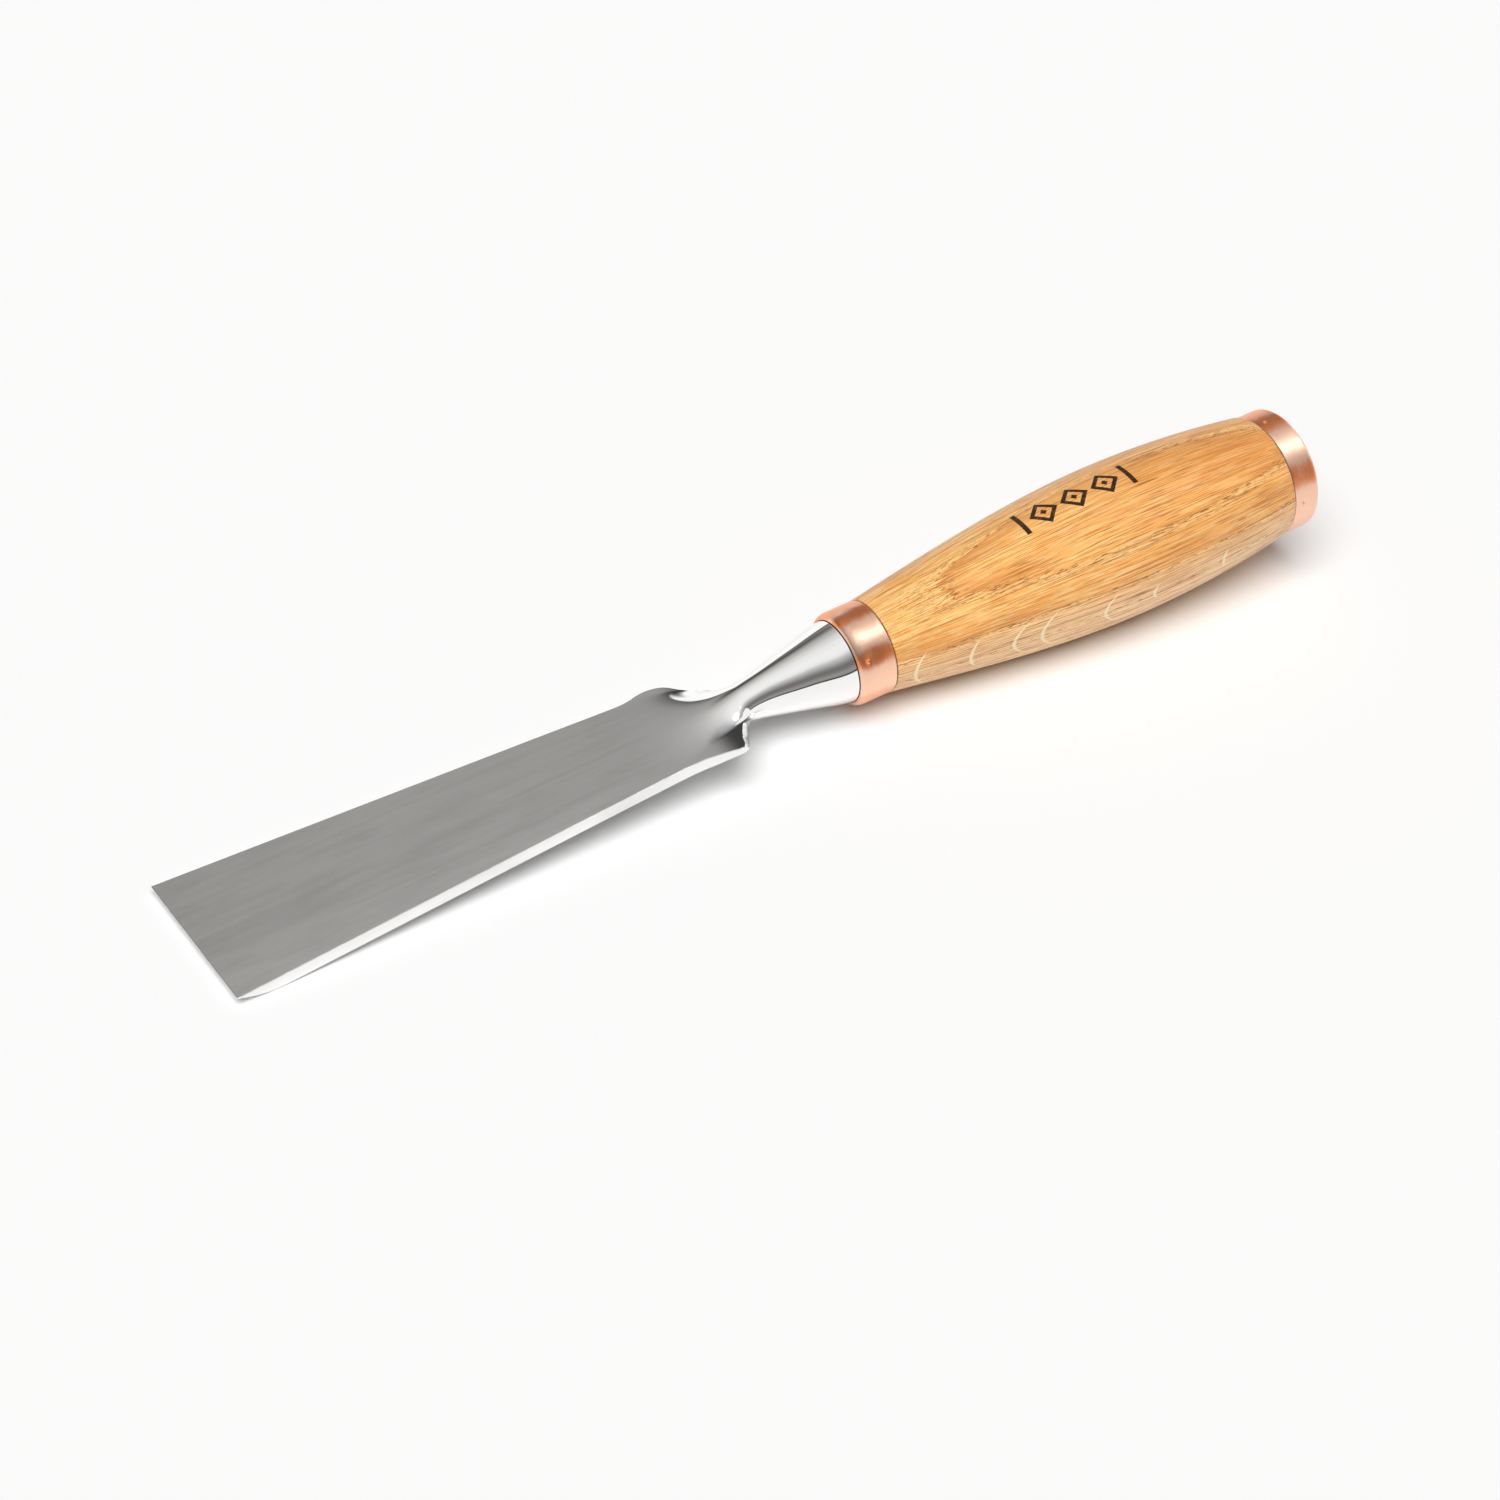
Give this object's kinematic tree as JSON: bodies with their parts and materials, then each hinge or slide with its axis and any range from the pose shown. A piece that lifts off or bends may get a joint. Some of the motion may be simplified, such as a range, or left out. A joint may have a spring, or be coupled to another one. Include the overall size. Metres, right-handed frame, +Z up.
{
  "type": "carving chisel",
  "caption": "Flat carving chisel with a wide flared blade, conical bolster, barrel-shaped oak handle, copper ferrule and copper striking hoop.",
  "frame": {"origin": "on the surface that the chisel lies on, under the middle of its length and width", "axes": "+Z up from the surface, +X from the cutting edge towards the striking end, +Y across the blade; the handle's axis rises towards the striking end because the belly is thicker than the blade"},
  "size_m": [0.3008, 0.045, 0.0397],
  "materials": {
    "steel": "ground and polished tool steel, satin on the flats, bright on the bolster",
    "oak": "turned oak, oiled, satin",
    "copper": "bare copper, lightly brushed round its circumference"
  },
  "bodies": {
    "root": {"blade_forging": "steel", "handle": "oak", "ferrule": "copper", "striking_hoop": "copper"}
  },
  "joints": []
}
